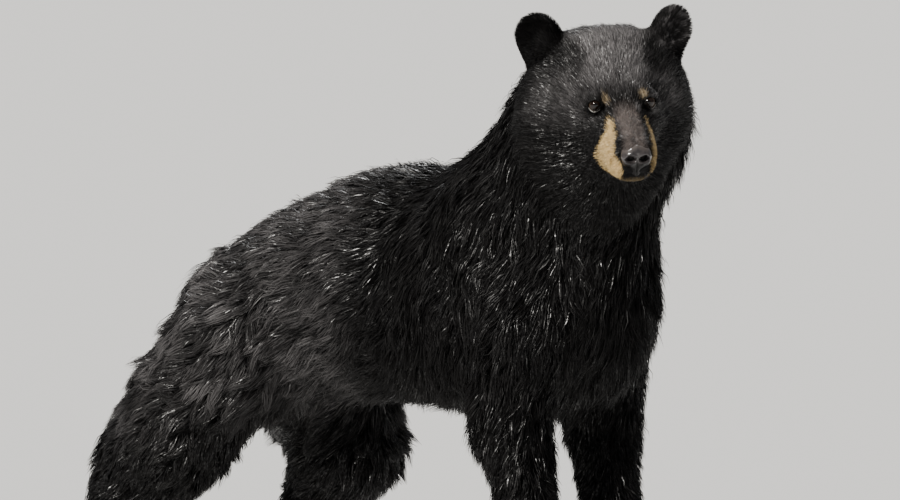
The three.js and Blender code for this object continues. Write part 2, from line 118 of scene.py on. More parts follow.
camera = bpy.data.objects.new("camera", bpy.data.cameras.new("camera"))
camera.data.sensor_width, camera.data.lens = SENSOR, LENS
camera.location = from_middle(turn=40, rise=3.5, distance=9.5, middle=AIM)
camera.rotation_euler = (AIM - camera.location).to_track_quat("-Z", "Y").to_euler()
scene.collection.objects.link(camera)
scene.camera = camera


# ---------- skin ----------
# One hide covers the whole bear, from the ears to the soles. It lies inside the outline by the depth of
# the coat, which is deepest on the neck and haunches and thinnest on the muzzle.

SIDES = ("right", "left")
PARTS = ["trunk", "neck", "tail", "head", "lower_jaw"]
PARTS += [f"{part}_{side}" for side in SIDES for part in
          ("ear", "upper_arm", "forearm", "forepaw", "thigh", "shank", "hind_foot")]
SAME_PLACE = 1e-5  # corners of a solid nearer than this are one
SEAM_SWELL = 0.0006  # closes the cuts between the solids
SKIN_STEP = 0.0071
NOSE_DROP = math.radians(27.57)  # how far the nose lies below straight ahead, seen from the eyes
COAT_DEPTH = {"trunk": 0.015, "neck": 0.017, "tail": 0.011, "head": 0.006, "lower_jaw": 0.004,
              "ear": 0.0035, "upper_arm": 0.014, "forearm": 0.011, "forepaw": 0.005, "thigh": 0.016,
              "shank": 0.013, "hind_foot": 0.005}
KINDS = tuple(COAT_DEPTH)  # of part
HEAD_KINDS, FOOT_KINDS = ("head", "lower_jaw", "ear"), ("forepaw", "hind_foot")
KIND_OF = [KINDS.index(part.replace("_right", "").replace("_left", "")) for part in PARTS]
CHEEK_DEPTH, MUZZLE_DEPTH = 0.007, 0.0022
KIND_ROUNDS, DEPTH_ROUNDS, HIDE_ROUNDS = 10, 6, 4  # rounds of evening
WEAR_ROUNDS, WEAR_SHARE, FINE_KEPT = 36, 0.5, 1.5  # the flats are worn down, but not on head and feet
FAIR_ROUNDS, FAIR_IN, FAIR_OUT = 14, 0.5, -0.52


def merged_copy(names, push):
    """Copies of CAD nodes as one bmesh with shared corners, each pushed outwards."""
    whole = bmesh.new()
    for name in names:
        part = bmesh.new()
        part.from_mesh(nodes[name].data)
        bmesh.ops.remove_doubles(part, verts=part.verts, dist=SAME_PLACE)
        part.normal_update()
        for vert in part.verts:
            vert.co += vert.normal * push
        mesh = bpy.data.meshes.new("part")
        part.to_mesh(mesh)
        part.free()
        whole.from_mesh(mesh)
        bpy.data.meshes.remove(mesh)
    return whole


def object_from(bm, name):
    mesh = bpy.data.meshes.new(name)
    bm.to_mesh(mesh)
    bm.free()
    piece = bpy.data.objects.new(name, mesh)
    scene.collection.objects.link(piece)
    return piece


def remeshed(piece, step):
    """The piece with its surface made new from cubes `step` metres wide."""
    remesh = piece.modifiers.new("remesh", "REMESH")
    remesh.mode = "VOXEL"
    remesh.voxel_size = step
    graph = bpy.context.evaluated_depsgraph_get()
    mesh = bpy.data.meshes.new_from_object(piece.evaluated_get(graph))
    piece.modifiers.clear()
    piece.data = mesh
    return piece


def read(elements, name, width, kind=np.float32):
    """One value of every element, as rows of `width` numbers."""
    found = np.empty(len(elements) * width, kind)
    elements.foreach_get(name, found)
    return found.reshape(-1, width)


def places(mesh):
    return read(mesh.vertices, "co", 3).astype(float)


def outward(mesh):
    return read(mesh.vertex_normals, "vector", 3).astype(float)


def edge_ends(mesh):
    return read(mesh.edges, "vertices", 2, np.int32)


def put(mesh, points):
    mesh.vertices.foreach_set("co", points.astype(np.float32).ravel())
    mesh.update()


def evened(values, ends, rounds, share=0.5):
    """Values on vertices, each moved `share` of the way to its neighbours' mean, `rounds` times."""
    values = np.array(values, float)
    flat = values.reshape(len(values), -1)
    count = np.maximum(np.bincount(ends.ravel(), minlength=len(flat)), 1)
    share = np.broadcast_to(np.asarray(share, float), len(flat))
    for _ in range(rounds):
        for k in range(flat.shape[1]):
            column = flat[:, k]
            total = np.bincount(ends[:, 0], column[ends[:, 1]], len(flat))
            total += np.bincount(ends[:, 1], column[ends[:, 0]], len(flat))
            flat[:, k] += share * (total / count - column)
    return flat.reshape(values.shape)


def step(x, low, high):
    """0 below low, 1 above high, smooth between."""
    t = np.clip((x - low) / (high - low), 0, 1)
    return t * t * (3 - 2 * t)


def middle_of(node):
    low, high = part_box(node)
    return np.array((low + high) / 2)


# The face's own axes, in millimetres: x ahead, y to the bear's left, z up, from between the eyes.
eye_middle = (middle_of("eye_left") + middle_of("eye_right")) / 2
face_y = middle_of("eye_left") - middle_of("eye_right")
face_y /= np.linalg.norm(face_y)
to_nose = middle_of("nose") - eye_middle
to_nose -= face_y * (to_nose @ face_y)
to_nose /= np.linalg.norm(to_nose)
below_nose = np.cross(to_nose, face_y)
face_x = to_nose * math.cos(NOSE_DROP) + below_nose * math.sin(NOSE_DROP)
face_axes = np.array([face_x, face_y, np.cross(face_x, face_y)])


def in_face(points):
    return (points - eye_middle) @ face_axes.T * 1000


def from_face(points):
    return np.asarray(points, float) / 1000 @ face_axes + eye_middle


def solid_outline():
    """The solids under the coat as one tree to search, and the kind of part that each face is on."""
    corners, faces, owners = [], [], []
    for part, kind in zip(PARTS, KIND_OF):
        mesh = nodes[part].data
        first = len(corners)
        corners += [vert.co.copy() for vert in mesh.vertices]
        faces += [[first + v for v in face.vertices] for face in mesh.polygons]
        owners += [kind] * len(mesh.polygons)
    return BVHTree.FromPolygons(corners, faces), owners


outline, outline_kinds = solid_outline()


def nearest_kind(points):
    """For each point, 1 in the column of the kind of part that is nearest to it."""
    return np.eye(len(KINDS))[[outline_kinds[outline.find_nearest(Vector(p))[2]] for p in points]]


def part_of(shares, *kinds):
    """How far each vertex belongs to these kinds of part, from 0 to 1."""
    return shares[:, [KINDS.index(kind) for kind in kinds]].sum(1)


def by_kind(shares, amounts):
    """A value for each vertex, from one for each kind of part, in the order of KINDS."""
    return shares @ np.array(list(amounts))


skin = object_from(merged_copy(PARTS + ["nose", "eye_right", "eye_left"], SEAM_SWELL), "skin")
remeshed(skin, SKIN_STEP)
points, ends = places(skin.data), edge_ends(skin.data)
shares = evened(nearest_kind(points), ends, KIND_ROUNDS)
headness = part_of(shares, *HEAD_KINDS)

# The flats of the solids are worn smooth, then the hide is let in under the coat.
fine = headness + part_of(shares, *FOOT_KINDS)
points = evened(points, ends, WEAR_ROUNDS, WEAR_SHARE * np.clip(1 - FINE_KEPT * fine, 0, 1))
for _ in range(FAIR_ROUNDS):
    points = evened(points, ends, 1, FAIR_IN)
    points = evened(points, ends, 1, FAIR_OUT)
put(skin.data, points)

face = in_face(points)
muzzle = step(face[:, 0], 25, 75) * step(headness, 0.3, 0.8)
cheek = step(-face[:, 0], 10, 80) * step(-face[:, 2], 0, 60)
depth = by_kind(shares, COAT_DEPTH.values())
depth += headness * cheek * CHEEK_DEPTH
depth = depth * (1 - muzzle) + MUZZLE_DEPTH * muzzle
depth *= step(points[:, 2], -0.004, 0.02)  # the soles stay on the floor
depth = evened(depth, ends, DEPTH_ROUNDS)
points -= outward(skin.data) * depth[:, None]
points = evened(points, ends, HIDE_ROUNDS, 0.4 * (1 - muzzle))
put(skin.data, points)


# ---------- face ----------
# The skin of the head is modelled more finely: brows, the hollows before the eyes, the lips, and two
# lids round each eye, with the bare dark skin of their rims lying on the eyeball.

EYE_RADIUS = 11.0
# The muzzle and the skin round the eyes have smaller faces, within these distances in millimetres.
MUZZLE_MIDDLE, MUZZLE_REACH, MUZZLE_BACK = (40, 0, -45), 112, -15
EYE_REACH = 21
# Soft mounds, or hollows where the height is below 0: centre, radii, height, and how many sides have it.
MOUNDS = (((2, 44, 19), (14, 17, 8), 2.6, 2),  # over each eye
          ((14, 0, 10), (22, 11, 16), -1.8, 1),  # down the middle of the brow
          ((14, 26, -6), (12, 8, 14), -1.6, 2),  # before each eye
          ((100, 32, -60), (24, 15, 24), -7.5, 2),  # beside the nose
          ((106, 27, -84), (14, 12, 11), 3.0, 2),  # the upper lips below it
          ((60, 30, -34), (26, 12, 10), -1.6, 2),  # along the bridge
          ((88, 0, -114), (24, 26, 16), -5.0, 1),  # under the chin
          ((117, 0, -57), (18, 21, 20), -7.5, 1),  # behind the nose leather
          ((-126, -128, 44), (30, 24, 26), 5.0, 1))  # below the right ear
LIP_WIDTH, LIP_DEPTH = 2.6, 2.6
LID_TURN, LID_RISE, LID_SLANT = math.radians(15), math.radians(8), 0.12
OPENING = {"inner": 11.0, "outer": 10.2, "upper": 8.0, "lower": 9.2}
LID_THICKNESS = 1.5
LID_EDGE, LID_SLOPE = 8.5, 0.5  # beyond the edge the skin falls away from the eyeball in a slope
LID_REACH, LID_BACK = 34, -16  # how far round the eye the skin is shaped, and how far behind it
# The crease round the lids and the roll at their rims: height, distance outside the gap, width.
LID_FOLDS = ((-0.9, 4.2, 1.0), (0.5, 1.6, 1.2))
UNDER_EYE = 1.6  # how far inside the eyeball the skin runs in the gap


def refine(piece, chosen):
    """Splits every edge whose ends are both chosen."""
    bm = bmesh.new()
    bm.from_mesh(piece.data)
    bm.verts.ensure_lookup_table()
    edges = [e for e in bm.edges if chosen[e.verts[0].index] and chosen[e.verts[1].index]]
    bmesh.ops.subdivide_edges(bm, edges=edges, cuts=1, use_grid_fill=True)
    bmesh.ops.triangulate(bm, faces=[f for f in bm.faces if len(f.verts) > 4])
    bm.to_mesh(piece.data)
    bm.free()


eye_centres = {side: in_face(middle_of("eye_" + side)) for side in SIDES}
refine(skin, headness > 0.5)
face = in_face(places(skin.data))
refine(skin, (np.linalg.norm(face - MUZZLE_MIDDLE, axis=1) < MUZZLE_REACH) & (face[:, 0] > MUZZLE_BACK))
face = in_face(places(skin.data))
near_eye = np.min([np.linalg.norm(face - c, axis=1) for c in eye_centres.values()], axis=0)
refine(skin, near_eye < EYE_REACH)

points, ends = places(skin.data), edge_ends(skin.data)
face = in_face(points)
zone = step(face[:, 0], -150, -120) * step(-np.abs(face[:, 1]), -170, -150)
points = evened(points, ends, 5, 0.5 * zone * (points[:, 2] > 0.6))
put(skin.data, points)

face = in_face(points)
lift = np.zeros(len(face))
for centre, radii, height, sides in MOUNDS:
    for side in (1, -1)[:sides]:
        away = (face - np.array(centre) * (1, side, 1)) / np.array(radii)
        lift += height * np.exp(-(away ** 2).sum(1))


def lip_height(x):
    """The line between the lips, which dips to the corner of the mouth."""
    return -88 - 5 * step(-x, -70, -20) + 3 * step(x, 88, 112)


def lips_at(face):
    """1 on the line between the lips, falling to 0 a few millimetres off it."""
    off = np.abs(face[:, 2] - lip_height(face[:, 0]))
    return np.exp(-(off / LIP_WIDTH) ** 2) * step(face[:, 0], 12, 34) * step(-np.abs(face[:, 1]), -60, -40)


lift -= LIP_DEPTH * lips_at(face)
points += outward(skin.data) * lift[:, None] / 1000


def eye_axes(side):
    """The axes of one eye's opening in the face: out of the head, away from the nose, and up."""
    s = 1 if side == "left" else -1
    out = np.array([math.cos(LID_TURN) * math.cos(LID_RISE), s * math.sin(LID_TURN) * math.cos(LID_RISE),
                    math.sin(LID_RISE)])
    away = np.cross((0, 0, 1), out) * s
    away /= np.linalg.norm(away)
    away = away + np.array([0, 0, LID_SLANT])
    away -= out * (away @ out)
    away /= np.linalg.norm(away)
    return np.array([out, away, np.cross(out, away) * s])


def opening(u, v):
    """How far a place lies inside the gap between the lids, in millimetres, below 0 outside it."""
    half = np.where(u > 0, OPENING["outer"], OPENING["inner"])
    t = np.clip(np.abs(u) / half, 0, 1.6)
    arch = np.where(t < 1, (1 - np.minimum(t, 1) ** 2) ** 0.8, -(t - 1) * 1.4)
    return np.minimum(OPENING["upper"] * arch - v, v + OPENING["lower"] * arch)


face = in_face(points)
for side in SIDES:
    axes = eye_axes(side)
    local = (face - eye_centres[side]) @ axes.T
    out, u, v = local.T
    round_eye = np.hypot(u, v)
    here = (np.linalg.norm(local, axis=1) < LID_REACH) & (out > LID_BACK)
    lid = np.sqrt((EYE_RADIUS + LID_THICKNESS) ** 2 - np.minimum(round_eye, LID_EDGE) ** 2)
    lid -= LID_SLOPE * np.maximum(round_eye - LID_EDGE, 0)
    gap = opening(u, v)
    lid = lid + sum(height * np.exp(-((gap + off) / wide) ** 2) for height, off, wide in LID_FOLDS)
    sunk = np.sqrt(np.maximum((EYE_RADIUS - UNDER_EYE) ** 2 - round_eye ** 2, 4))
    target = lid + (sunk - lid) * step(gap, -0.35, 0.45)
    hold = here * step(-round_eye, -27, -10.5)
    out = out + (target - out) * hold
    face = np.where(here[:, None], np.stack([out, u, v], 1) @ axes + eye_centres[side], face)
put(skin.data, from_face(face))
skin.data.shade_smooth()


# ---------- eyes ----------
# Glass eyes: a dark brown iris round a wide pupil, under a clear bulging front that is always wet. Both
# look where the bear looks, and the lids hold them.

GAZE = np.array([0.94, -0.10, 0.22])
IRIS_RADIUS, CORNEA_BULGE = 7.4, 0.9
GAZE_RANGE = 1.6  # the angle from the gaze, in radians, at which the eye's colours end
# The eye's colours, outwards from the middle of the pupil: black, the iris, its dark rim, the brown white.
EYE_COLOURS = ((0.0, (0.002, 0.002, 0.002)), (0.20, (0.003, 0.002, 0.002)),
               (0.24, (0.012, 0.006, 0.003)), (0.40, (0.009, 0.004, 0.003)),
               (0.47, (0.005, 0.003, 0.002)), (0.60, (0.05, 0.035, 0.025)))


def add(tree, kind, inputs):
    node = tree.nodes.new(kind)
    fill(node, inputs)
    return node


def ramp(tree, source, stops):
    """A colour ramp on `source`, from (position, colour) pairs."""
    node = add(tree, "ShaderNodeValToRGB", {"Fac": source})
    elements = node.color_ramp.elements
    while len(elements) < len(stops):
        elements.new(0.5)
    for element, (position, colour) in zip(elements, stops):
        element.position, element.color = position, (*colour, 1)
    return node.outputs["Color"]


def pattern(tree, kind, scale, output="Fac"):
    """A texture that stays on the piece, with about `scale` features to the metre."""
    place = tree.nodes.new("ShaderNodeTexCoord").outputs["Object"]
    return add(tree, kind, {"Scale": scale, "Vector": place}).outputs[output]


def value_of(tree, name):
    node = tree.nodes.new("ShaderNodeAttribute")
    node.attribute_name = name
    return node.outputs["Fac"]


def sum_of(tree, operation, *sources, clamp=False):
    """A sum on outputs of nodes and plain numbers."""
    node = add(tree, "ShaderNodeMath", dict(enumerate(sources)))
    node.operation, node.use_clamp = operation, clamp
    return node.outputs[0]


def set_values(mesh, **layers):
    for name, values in layers.items():
        layer = mesh.attributes.new(name, "FLOAT", "POINT")
        layer.data.foreach_set("value", np.asarray(values, np.float32))


def eye_material():
    """Colours run outwards from the pupil, by the attribute that holds the angle from the gaze."""
    material, tree, surface = node_tree_of("brown_eye")
    fibres = pattern(tree, "ShaderNodeTexNoise", 900)
    ring = sum_of(tree, "MULTIPLY_ADD", fibres, 0.04, value_of(tree, "from_gaze"))
    fill(surface, {"Base Color": ramp(tree, ring, EYE_COLOURS), "Roughness": 0.06,
                   "Specular IOR Level": 0.0, "Coat Weight": 1.0, "Coat Roughness": 0.02})
    return material


brown_eye = eye_material()


def eyeball(side):
    bm = bmesh.new()
    bmesh.ops.create_uvsphere(bm, u_segments=48, v_segments=32, radius=EYE_RADIUS / 1000)
    eye = object_from(bm, "eyeball_" + side)
    ball = places(eye.data) * 1000
    out = GAZE / np.linalg.norm(GAZE)
    angle = np.arccos(np.clip(ball @ out / EYE_RADIUS, -1, 1))
    iris_angle = math.asin(IRIS_RADIUS / EYE_RADIUS)
    ball *= 1 + (CORNEA_BULGE / EYE_RADIUS) * step(-angle, -iris_angle, -0.15)[:, None]
    put(eye.data, from_face(ball + eye_centres[side]))
    set_values(eye.data, from_gaze=angle / GAZE_RANGE)
    eye.data.shade_smooth()
    eye.data.materials.append(brown_eye)
    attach(eye, "root")
    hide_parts("eye_" + side)


for side in SIDES:
    eyeball(side)


# ---------- nose ----------
# A broad pad of bare, moist, finely pebbled black leather, with comma-shaped nostrils that open to the
# sides and a groove down its middle to the lip.

NOSE_STEP, NOSE_ROUNDS = 0.0011, 10
NOSTRIL_Y, NOSTRIL_Z, NOSTRIL_DEPTH = 10.6, -56, 11
NOSTRIL_WIDTH, NOSTRIL_HEIGHT, NOSTRIL_SLANT = 7.7, 4.2, 0.16
SLIT_DROP, SLIT_NARROWING = 2.4, 1.4  # the slit that curls out and down from each opening
RIM_WIDTH, RIM_HEIGHT, RIM_LIFT = 10.4, 8.2, 0.9
GROOVE_WIDTH, GROOVE_DEPTH = 1.3, 2.4
PAD_SLOPE, PAD_EDGE, TUCK_DEPTH = 0.45, (-35, -31), 4.0  # its upper edge, tucked in under the fur
LEATHER_COLOURS = ((0.3, (0.016, 0.014, 0.015)), (0.7, (0.054, 0.047, 0.047)))
# Below the nostrils the leather turns near black: painted shade on the underside of the pad.
DRY_COLOUR, UNDER_SHADE_COLOUR = (0.075, 0.063, 0.058), (0.004, 0.0035, 0.0035)


def mix(tree, factor, first, second):
    node = tree.nodes.new("ShaderNodeMix")
    node.data_type = "RGBA"
    fill(node, {"Factor": factor, "A": first, "B": second})
    return node.outputs["Result"]


def bumped(tree, height, strength, distance):
    inputs = {"Height": height, "Strength": strength, "Distance": distance}
    return add(tree, "ShaderNodeBump", inputs).outputs["Normal"]


def scaled(tree, source, factor, plus=0.0):
    """source * factor + plus, held between 0 and 1."""
    return sum_of(tree, "MULTIPLY_ADD", source, factor, plus, clamp=True)


def above(face, low, high):
    """0 below the pad's upper edge and 1 above it, where short hair covers it."""
    return step(face[:, 2] + PAD_SLOPE * np.abs(face[:, 1]), low, high)


def leather_material():
    material, tree, surface = node_tree_of("nose_leather")
    pebbles = pattern(tree, "ShaderNodeTexVoronoi", 620, "Distance")
    mottled = ramp(tree, pattern(tree, "ShaderNodeTexNoise", 90), LEATHER_COLOURS)
    upper = value_of(tree, "upper")
    leather = mix(tree, value_of(tree, "under"), mix(tree, upper, mottled, DRY_COLOUR), UNDER_SHADE_COLOUR)
    fill(surface, {"Base Color": leather, "Roughness": scaled(tree, upper, 0.25, 0.40),
                   "Normal": bumped(tree, pebbles, 0.35, 0.0006), "Specular IOR Level": 0.22,
                   "Coat Weight": value_of(tree, "moist"), "Coat Roughness": 0.09})
    return material


nose = remeshed(object_from(merged_copy(["nose"], 0.0), "nose_pad"), NOSE_STEP)
face = in_face(evened(places(nose.data), edge_ends(nose.data), NOSE_ROUNDS))
for s in (1, -1):
    y, z = face[:, 1] * s - NOSTRIL_Y, face[:, 2] - NOSTRIL_Z
    slit = step(y, 2, 9)
    tall = (z - NOSTRIL_SLANT * y + SLIT_DROP * slit) / (NOSTRIL_HEIGHT - SLIT_NARROWING * slit)
    hole = np.exp(-np.hypot(y / NOSTRIL_WIDTH, tall) ** 3) * step(face[:, 0], 96, 112)
    face[:, 0] -= NOSTRIL_DEPTH * hole
    rim = np.exp(-((np.hypot(y / RIM_WIDTH, z / RIM_HEIGHT) - 1) / 0.2) ** 2) * step(face[:, 0], 108, 118)
    face[:, 0] += RIM_LIFT * rim
groove = np.exp(-(face[:, 1] / GROOVE_WIDTH) ** 2) * step(face[:, 0], 108, 116)
face[:, 0] -= GROOVE_DEPTH * (groove * step(-face[:, 2], 46, 56))
put(nose.data, from_face(face))
tucked = above(face, *PAD_EDGE) * step(-face[:, 0], -126, -116)
face -= TUCK_DEPTH * tucked[:, None] * (outward(nose.data) @ face_axes.T)
put(nose.data, from_face(face))
# The leather below the nostrils is painted darker, as painted shade, and is less moist.
upper, under = above(face, -43, -34), step(-face[:, 2], 57, 68)
set_values(nose.data, upper=upper, under=under, moist=(1 - 0.3 * upper) * (1 - 0.8 * under))
nose.data.shade_smooth()
nose.data.materials.append(leather_material())
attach(nose, "root")
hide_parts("nose")


# ---------- claws ----------
# Each toe carries a dark curved horn claw, rooted in the fur and narrowing to a blunt point. It starts
# as a ring at the root and is drawn out to the length of its solid.

CLAW_STEPS, CLAW_SIDES, CLAW_RADIUS = 10, 10, 0.0052
CLAW_DROP, CLAW_FLATNESS, CLAW_TIP = 0.5, 0.8, 0.06
HORN_COLOURS = ((0.25, (0.012, 0.010, 0.009)), (0.75, (0.075, 0.060, 0.048)))


def horn_material():
    material, tree, surface = node_tree_of("claw_horn")
    streaks = ramp(tree, pattern(tree, "ShaderNodeTexNoise", 160), HORN_COLOURS)
    fill(surface, {"Base Color": streaks, "Roughness": 0.32})
    return material


claw_horn = horn_material()


def claw(node):
    """A ring drawn out along the toe and bent down, narrowing as it goes."""
    low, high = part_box(node)
    length = high.x - low.x
    bm = bmesh.new()
    ring = bmesh.ops.create_circle(bm, segments=CLAW_SIDES, radius=CLAW_RADIUS, cap_ends=True)["verts"]
    bmesh.ops.rotate(bm, verts=ring, cent=(0, 0, 0), matrix=Matrix.Rotation(math.pi / 2, 3, "Y"))
    bmesh.ops.translate(bm, verts=ring, vec=(low.x, (low.y + high.y) / 2, high.z - CLAW_RADIUS))
    edges = [e for e in bm.edges if all(v in ring for v in e.verts)]
    width = 1.0
    for i in range(1, CLAW_STEPS + 1):
        grown = bmesh.ops.extrude_edge_only(bm, edges=edges)["geom"]
        verts = [v for v in grown if isinstance(v, bmesh.types.BMVert)]
        edges = [e for e in grown if isinstance(e, bmesh.types.BMEdge)]
        new_width = max((1 - (i / CLAW_STEPS) ** 1.6) ** 0.7, CLAW_TIP)
        narrowing, flatness = new_width / width, CLAW_FLATNESS if i == 1 else 1
        middle = sum((v.co for v in verts), Vector()) / len(verts)
        bmesh.ops.scale(bm, verts=verts, vec=(1, flatness * narrowing, narrowing),
                        space=Matrix.Translation(-middle))
        drop = CLAW_DROP * length * (2 * i - 1) / CLAW_STEPS ** 2
        bmesh.ops.translate(bm, verts=verts, vec=(length / CLAW_STEPS, 0, -drop))
        width = new_width
    bmesh.ops.contextual_create(bm, geom=edges)
    bmesh.ops.recalc_face_normals(bm, faces=bm.faces)
    horn = object_from(bm, node + "_horn")
    horn.data.shade_smooth()
    horn.data.materials.append(claw_horn)
    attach(horn, "root")
    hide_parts(node)


for side in SIDES:
    for foot in FOOT_KINDS:
        for toe in range(1, 6):
            claw(f"{foot}_{side}_claw_{toe}")


# ---------- lie of the coat ----------
# Hair grows from the hide in one continuous lie: outwards from the nose over the face, down the neck and
# shoulders, backwards along the flanks, and down and back over the haunches and legs.

LIE = {"trunk": (-0.92, 0, -0.42), "neck": (-0.42, 0, -0.90), "tail": (-0.5, 0, -0.85),
       "head": (0, 0, 0), "lower_jaw": (0, 0, 0), "ear": (0, 0, 0),
       "upper_arm": (-0.20, 0, -1), "forearm": (-0.12, 0, -1), "forepaw": (0.75, 0, -0.55),
       "thigh": (-0.85, 0, -0.56), "shank": (-0.70, 0, -0.74), "hind_foot": (0.75, 0, -0.5)}
SPINE_LIE, SHOULDER_LIE, NAPE_LIE = (-0.25, 0, 0.3), (0.72, 0, -0.55), (-0.6, 0, -0.8)
FAN_MIDDLE, EAR_ROOTS = (95, 0, -40), np.array([(-118, 78, 42), (-118, -78, 42)])
LIE_ROUNDS = 8
SWAYS = ((0.24, 0.11, 3), (0.26, 0.030, 4))  # how far the hair turns off its lie, over how far, seed
WAVES = 14  # in a ripple

rng = np.random.default_rng(20)
points, ends = places(skin.data), edge_ends(skin.data)
normals = outward(skin.data)
face = in_face(points)
rough = nearest_kind(points)
shares = evened(rough, ends, 16)
headness = evened(part_of(rough, *HEAD_KINDS), ends, 12)
on_trunk, on_ear = part_of(shares, "trunk"), part_of(shares, "ear")


def ripple(points, size, seed):
    """Smooth noise of about -1 to 1, whose swells are about `size` metres apart."""
    draw = np.random.default_rng(seed)
    waves = draw.normal(size=(WAVES, 3))
    waves *= (math.tau / size * draw.uniform(0.6, 1.4, WAVES) / np.linalg.norm(waves, axis=1))[:, None]
    return np.sin(points @ waves.T + draw.uniform(0, math.tau, WAVES)).sum(1) / 3.6


def unit(vectors):
    return vectors / np.maximum(np.linalg.norm(vectors, axis=-1, keepdims=True), 1e-9)


def flat_on(vectors, normals):
    """The part of each vector that lies along the skin."""
    return vectors - normals * (vectors * normals).sum(1)[:, None]


# On the trunk the hair runs flat back along the spine and turns down behind the shoulder.
lie = by_kind(shares, LIE.values())
spine = step(points[:, 2], 0.56, 0.72) * step(normals[:, 2], 0.2, 0.9)
lie += (on_trunk * spine)[:, None] * np.array(SPINE_LIE)
front = step(points[:, 0], -0.03, 0.14) * (1 - spine)
lie += (on_trunk * front)[:, None] * np.array(SHOULDER_LIE)

# On the face it fans out from the nose; on the ears it runs from the root to the rim.
fan = face - np.array(FAN_MIDDLE)
fan[:, 2] += 16 * step(-face[:, 0], -60, -10)
fan = unit(fan) @ face_axes
ear_fan = unit(face - EAR_ROOTS[(face[:, 1] < 0).astype(int)]) @ face_axes
back_of_head = step(-face[:, 0], 60, 150) * headness
lie += (headness * (1 - on_ear) * (1 - back_of_head))[:, None] * fan
lie += back_of_head[:, None] * np.array(NAPE_LIE)
lie += on_ear[:, None] * ear_fan * 1.4
lie = unit(flat_on(lie, normals))
lie = unit(flat_on(evened(lie, ends, LIE_ROUNDS), normals))

sway = sum(turn * ripple(points, size, seed) for turn, size, seed in SWAYS) * (1 - 0.6 * headness)
lie = lie * np.cos(sway)[:, None] + np.cross(normals, lie) * np.sin(sway)[:, None]


# ---------- markings ----------
# The coat is black with a cool sheen. Short tan hair covers the sides of the muzzle, a brown-grey saddle
# runs down its bridge, a tan spot stands over each eye, and the crown and cheeks are lightly grey, partly
# grizzled and partly painted sheen.

# The edges of the tan patch in the face, in millimetres: its back edge as x by z, and its upper edge as
# the distance from the middle by x.
TAN_BACK = ((-106, -100, -82, -65, -42, -26, -5, 4), (34, 18, 14, 25, 44, 45, 31, 27))
TAN_TOP = ((26, 45, 60, 84, 96, 110, 115, 118), (27, 25.5, 25, 27, 29, 27.5, 24, 22))
# Ovals of the face, each with a centre and three radii: tan over the eyes, and painted light by the left
# eye.
BROW_SPOTS = (((7, -28.5, 12), (8, 4.5, 8)), ((2.5, 33.5, 16), (8, 7, 6)))
PAINTED_LIGHT_SPOTS = (((3, 50, -12), (12, 9, 6)), ((-2, 50, 11), (10, 12, 5)), ((24, 22, 2), (12, 7, 8)))
CHIN = ((94, 0, -101), (24, 24, 10))
EAR_FRONT = ((-75, 66, 58), (40, 26, 26))  # the dark hair in front of each ear
EYE_RING = (24, 19, 16)  # the dark hair round each eye
# Colours of the hair: of a dark and of a light tuft, or, for grey, at the root and at the tip.
BLACK = ((0.0006, 0.0006, 0.0008), (0.005, 0.0046, 0.0046))
BLACK_TIP = (0.008, 0.007, 0.007)
GREY = ((0.03, 0.028, 0.029), (0.24, 0.228, 0.23))
BROWN = ((0.080, 0.067, 0.062), (0.200, 0.168, 0.155))
TAN = ((0.38, 0.25, 0.09), (0.86, 0.65, 0.34))
# A pale painted highlight along each lower lid stands for the wet rim catching the light; the shaded left
# eye gets less of it.
LID_GLINT_COLOUR = (0.55, 0.53, 0.50)
LID_GLINT = {"right": 1.0, "left": 0.2}  # how strong the painted highlight along each lower lid is
NO_RIM = -99.0  # the gap's value away from the eyes, far outside any lid


def oval(face, centre, radii):
    """1 inside an oval of the face, falling softly to 0 outside it."""
    return 1 - step(np.linalg.norm((face - centre) / radii, axis=1), 0.6, 1.3)


def markings(points):
    """For each place, how tan, how brown-grey and how grey the hair is; the grey is grizzle, painted light
    and painted sheen together.
    """
    face = in_face(points)
    x, side, z = face[:, 0], np.abs(face[:, 1]), face[:, 2]
    left = face[:, 1] > 0
    wave = ripple(points, 0.010, 8)
    back = np.interp(z, *TAN_BACK) + 2.5 * wave
    top = np.interp(x, *TAN_TOP)
    top -= np.maximum(top - 21, 0) * step(-z, 58, 68)
    off_middle = np.abs(face[:, 1] + 3.2 * step(x, 70, 95) * step(z, -70, -58)) - 4.2 * left
    tan = step(x - back, -3, 4) * step(off_middle - top, -1.5 + wave, 2.0 + wave) * step(z, -104, -97)
    # The tan is painted darker on the bear's left, the side of the muzzle in shade: painted shade.
    tan *= 1 - 0.35 * left
    spots = np.max([oval(face, *spot) for spot in BROW_SPOTS], axis=0)
    bridge = step(-side, -24, -13) * step(x, 8, 46) * step(z, -58, -40) * (1 - tan)
    bridge *= 0.8 + 0.2 * ripple(points, 0.012, 9)
    # The grey of the crown and cheeks is partly grizzled tips and partly painted sheen.
    crown = step(z, 6, 60) * step(x, -150, -80) * step(-side, -80, -36)
    crown *= 1 - 0.8 * oval(np.stack([x, side, z], 1), *EAR_FRONT)
    cheek = step(side, 30, 70) * step(x, -110, -50) * step(z, -60, 0) * step(-z, -60, -20)
    cheek *= 0.36 + 0.10 * ripple(points, 0.03, 15)
    from_eyes = [np.linalg.norm((face - eye) / EYE_RING, axis=1) for eye in eye_centres.values()]
    clear_of_eyes = step(np.min(from_eyes, axis=0), 0.75, 1.25)
    # By the left eye the hair is painted pale where light falls on it: painted light.
    pale = [0.9 * oval(face, *spot) for spot in PAINTED_LIGHT_SPOTS]
    # The upper rump and haunches are painted grey: painted sheen.
    rump_sheen = 0.38 * step(-points[:, 0], -0.02, 0.10) * step(points[:, 2], 0.26, 0.46)
    rump_sheen *= 1 + 0.5 * ripple(points, 0.09, 10)
    grizzle = np.max([crown * clear_of_eyes, cheek * clear_of_eyes, *pale, spots, rump_sheen], axis=0)
    return np.max([tan, 0.22 * oval(face, *CHIN), 0.4 * spots], axis=0), bridge, grizzle


